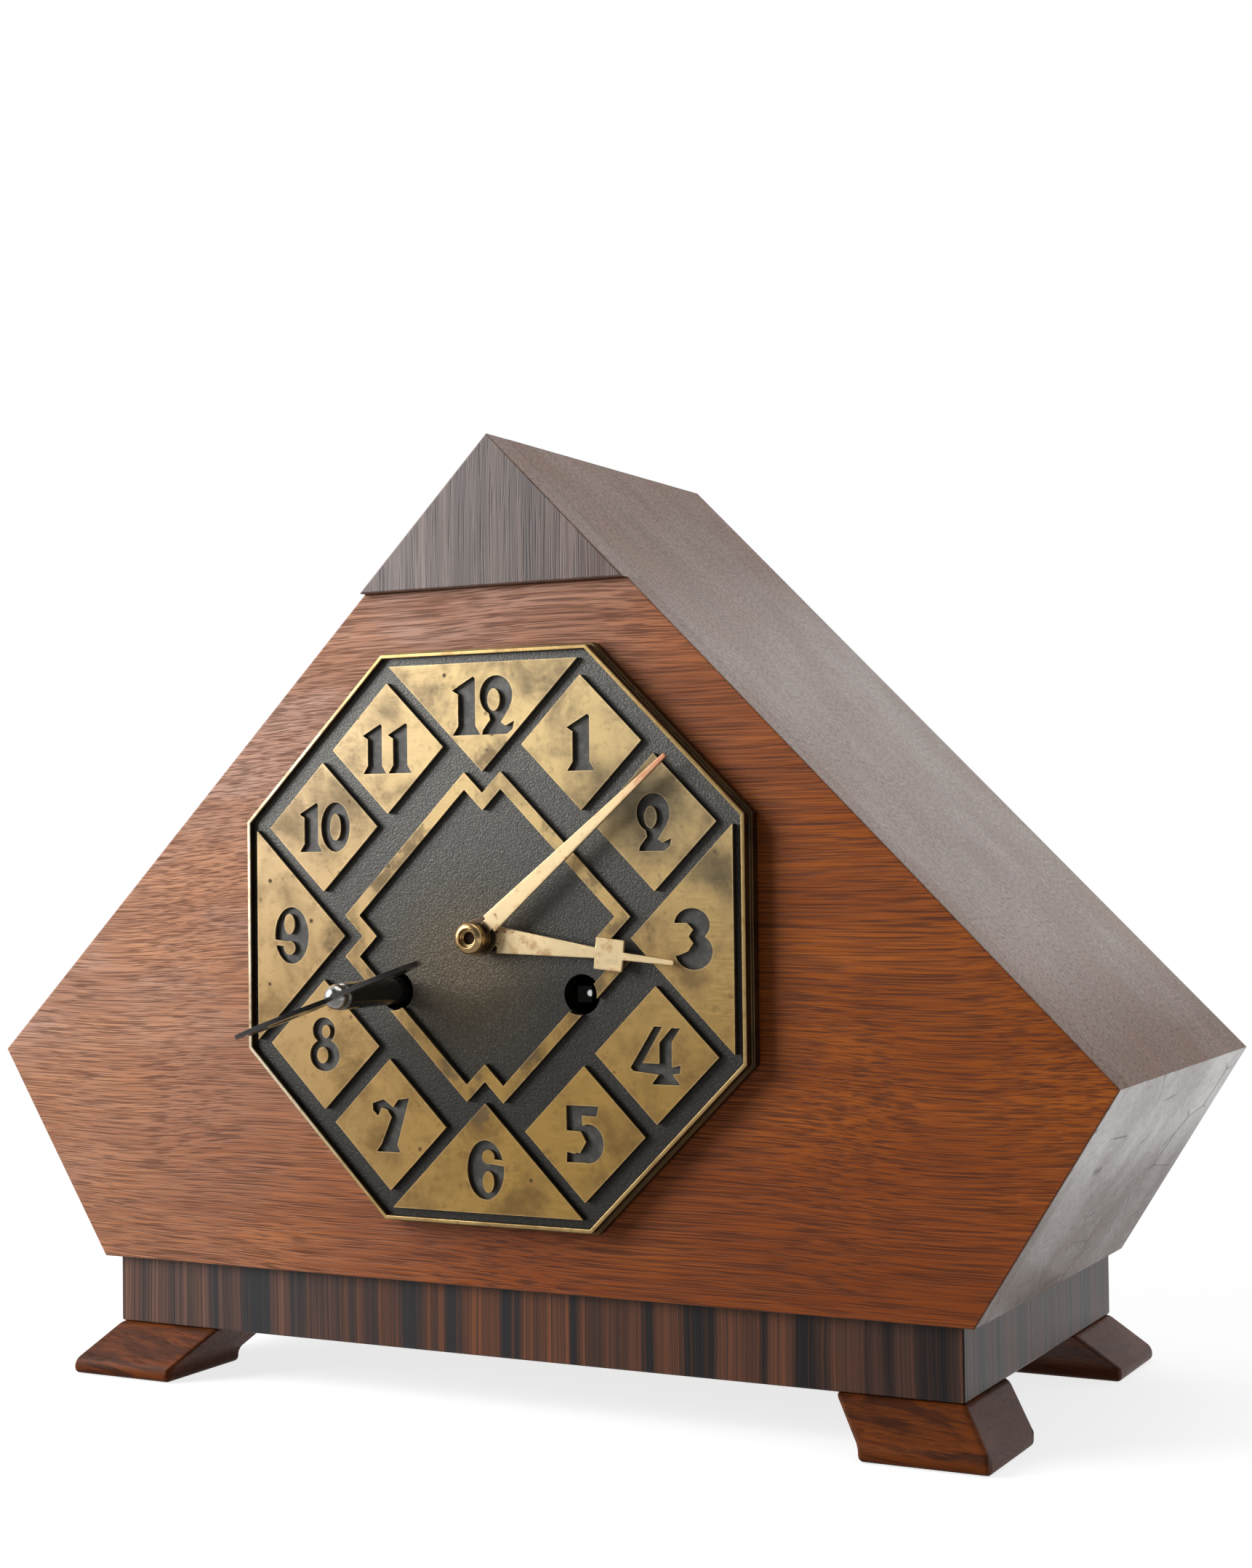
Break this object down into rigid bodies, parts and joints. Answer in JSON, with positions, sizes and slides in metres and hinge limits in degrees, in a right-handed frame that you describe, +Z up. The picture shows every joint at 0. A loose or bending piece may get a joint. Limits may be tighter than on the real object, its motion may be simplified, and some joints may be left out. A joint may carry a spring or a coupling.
{
  "type": "mantel clock",
  "caption": "Gabled wooden mantel clock with a plinth and splayed feet, an octagonal brass dial, hands, winding key, geared movement, pendulum and back door.",
  "frame": {"origin": "on the surface the clock stands on, under the middle of its box from the key's bow to the back feet", "axes": "+X to the right as seen from the front, +Y to the back, +Z up"},
  "size_m": [0.3336, 0.1816, 0.2575],
  "materials": {
    "front_veneer": "satin, horizontal grain",
    "cap_wood": "satin, upright grain",
    "case_wood": "satin",
    "plinth_wood": "satin, dark upright stripes",
    "foot_wood": "satin",
    "plain_wood": "matt",
    "dial_brass": "aged, cast",
    "hand_brass": "polished, slightly stained",
    "movement_brass": "satin",
    "movement_steel": "satin",
    "key_steel": "blackened",
    "gong_iron": "rough"
  },
  "bodies": {
    "case": {"front_panel": "front_veneer", "gable_cap": "cap_wood", "roof_left": "case_wood", "roof_right": "case_wood", "side_left": "case_wood", "side_right": "case_wood", "bottom_board": "plain_wood", "back_panel": "plain_wood", "plinth_front": "plinth_wood", "plinth_back": "plinth_wood", "plinth_left": "plinth_wood", "plinth_right": "plinth_wood", "foot_front_left": "foot_wood", "foot_front_right": "foot_wood", "foot_back_left": "foot_wood", "foot_back_right": "foot_wood", "dial_plate": "dial_brass", "dial_rim": "dial_brass", "dial_bolts": "movement_steel", "plate_front": "movement_brass", "plate_back": "movement_brass", "pillars": "movement_brass", "pillar_nuts": "movement_steel", "movement_screws": "movement_steel", "gong_block": "gong_iron", "gong_rod": "movement_steel", "suspension_cock": "movement_brass", "hinge_fixed_leaves": "movement_brass", "turn_button_screw": "movement_steel"},
    "door": {"back_door": "plain_wood", "hinge_door_leaves": "movement_brass", "door_knob": "plain_wood"},
    "button": {"turn_button": "movement_brass"},
    "minute_work": {"minute_hand": "hand_brass", "hand_nut": "hand_brass", "centre_wheel": "movement_brass", "cannon_pinion": "movement_brass"},
    "hour_work": {"hour_hand": "hand_brass", "hour_wheel": "movement_brass"},
    "motion_wheel": {"minute_wheel": "movement_brass"},
    "time_drum": {"time_barrel": "movement_brass", "time_mainspring": "movement_steel"},
    "time_winder": {"time_winding_arbor": "movement_steel"},
    "time_pawl": {"time_click": "movement_steel"},
    "strike_drum": {"strike_barrel": "movement_brass", "strike_mainspring": "movement_steel"},
    "strike_winder": {"strike_winding_arbor": "movement_steel"},
    "strike_pawl": {"strike_click": "movement_steel"},
    "key": {"winding_key": "key_steel"},
    "second_arbor": {"second_wheel": "movement_brass"},
    "third_arbor": {"third_wheel": "movement_brass"},
    "escape_arbor": {"escape_wheel": "movement_brass"},
    "pallet_anchor": {"anchor": "movement_steel"},
    "pendulum": {"pendulum_rod": "movement_steel", "pendulum_bob": "movement_brass", "rating_nut": "movement_brass"},
    "strike_hammer": {"hammer": "movement_steel"},
    "pin_arbor": {"pin_wheel": "movement_brass"},
    "warning_arbor": {"warning_wheel": "movement_brass"},
    "fly_arbor": {"fly": "movement_brass"}
  },
  "joints": [
    {"name": "third_wheel_turn", "type": "hinge", "parent": "case", "child": "third_arbor", "pos_m": [-0.00796, -0.0453, 0.13879], "axis": [0, 1, 0], "range_deg": [-2100, 1800]},
    {"name": "minute_hand_turn", "type": "hinge", "parent": "case", "child": "minute_work", "pos_m": [0, -0.0453, 0.125], "axis": [0, 1, 0], "range_deg": [-150, 175]},
    {"name": "hour_hand_turn", "type": "hinge", "parent": "case", "child": "hour_work", "pos_m": [0, -0.0453, 0.125], "axis": [0, 1, 0], "range_deg": [-20, 20]},
    {"name": "minute_wheel_turn", "type": "hinge", "parent": "case", "child": "motion_wheel", "pos_m": [0, -0.0453, 0.1442], "axis": [0, 1, 0], "range_deg": [-70, 70]},
    {"name": "second_wheel_turn", "type": "hinge", "parent": "case", "child": "second_arbor", "pos_m": [0.01411, -0.0453, 0.13475], "axis": [0, 1, 0], "range_deg": [-40, 40]},
    {"name": "time_barrel_turn", "type": "hinge", "parent": "case", "child": "time_drum", "pos_m": [0.0281, -0.0453, 0.1105], "axis": [0, 1, 0], "range_deg": [-10, 10]},
    {"name": "escape_wheel_turn", "type": "hinge", "parent": "case", "child": "escape_arbor", "pos_m": [0, -0.0453, 0.14988], "axis": [0, 1, 0], "range_deg": [-26000, 26000]},
    {"name": "fly_turn", "type": "hinge", "parent": "case", "child": "fly_arbor", "pos_m": [-0.01471, -0.0453, 0.15967], "axis": [0, 1, 0], "continuous": true},
    {"name": "warning_wheel_turn", "type": "hinge", "parent": "case", "child": "warning_arbor", "pos_m": [-0.02852, -0.0453, 0.15464], "axis": [0, 1, 0], "continuous": true},
    {"name": "pin_wheel_turn", "type": "hinge", "parent": "case", "child": "pin_arbor", "pos_m": [-0.03296, -0.0453, 0.13808], "axis": [0, 1, 0], "continuous": true},
    {"name": "strike_barrel_turn", "type": "hinge", "parent": "case", "child": "strike_drum", "pos_m": [-0.0281, -0.0453, 0.1105], "axis": [0, 1, 0], "continuous": true},
    {"name": "pendulum_swing", "type": "hinge", "parent": "case", "child": "pendulum", "pos_m": [0, 0.0169, 0.16488], "axis": [0, 1, 0], "range_deg": [-3, 3]},
    {"name": "anchor_rock", "type": "hinge", "parent": "case", "child": "pallet_anchor", "pos_m": [0, -0.0453, 0.16488], "axis": [0, 1, 0], "range_deg": [-3.5, 3.5]},
    {"name": "time_winding", "type": "hinge", "parent": "case", "child": "time_winder", "pos_m": [0.0281, -0.0453, 0.1105], "axis": [0, 1, 0], "range_deg": [0, 2520]},
    {"name": "strike_winding", "type": "hinge", "parent": "case", "child": "strike_winder", "pos_m": [-0.0281, -0.0453, 0.1105], "axis": [0, 1, 0], "range_deg": [-2520, 0]},
    {"name": "time_click_lift", "type": "hinge", "parent": "case", "child": "time_pawl", "pos_m": [0.02567, -0.0453, 0.12429], "axis": [0, 1, 0], "range_deg": [-12, 0], "stiffness_Nm_per_rad": 0.002},
    {"name": "strike_click_lift", "type": "hinge", "parent": "case", "child": "strike_pawl", "pos_m": [-0.02567, -0.0453, 0.12429], "axis": [0, 1, 0], "range_deg": [0, 12], "stiffness_Nm_per_rad": 0.002},
    {"name": "key_pull", "type": "slide", "parent": "strike_winder", "child": "key", "axis": [0, -1, 0], "range_m": [0, 0.06]},
    {"name": "hammer_lift", "type": "hinge", "parent": "case", "child": "strike_hammer", "pos_m": [-0.044, -0.0453, 0.088], "axis": [0, 1, 0], "range_deg": [-14, 0]},
    {"name": "door_swing", "type": "hinge", "parent": "case", "child": "door", "pos_m": [-0.0703, 0.0808, 0.1], "axis": [0, 0, 1], "range_deg": [0, 110]},
    {"name": "turn_button_turn", "type": "hinge", "parent": "case", "child": "button", "pos_m": [0.078, 0.0785, 0.118], "axis": [0, 1, 0], "range_deg": [0, 90]}
  ],
  "couplings": [
    {"joint": "minute_hand_turn", "follows": "third_wheel_turn", "ratio": -0.083333},
    {"joint": "hour_hand_turn", "follows": "third_wheel_turn", "ratio": -0.0069444},
    {"joint": "minute_wheel_turn", "follows": "third_wheel_turn", "ratio": 0.027778},
    {"joint": "second_wheel_turn", "follows": "third_wheel_turn", "ratio": 0.013889},
    {"joint": "time_barrel_turn", "follows": "third_wheel_turn", "ratio": -0.0023148},
    {"joint": "escape_wheel_turn", "follows": "third_wheel_turn", "ratio": -12},
    {"joint": "warning_wheel_turn", "follows": "fly_turn", "ratio": -0.16667},
    {"joint": "pin_wheel_turn", "follows": "fly_turn", "ratio": 0.027778},
    {"joint": "strike_barrel_turn", "follows": "fly_turn", "ratio": -0.0046296},
    {"joint": "anchor_rock", "follows": "pendulum_swing", "ratio": 1}
  ]
}
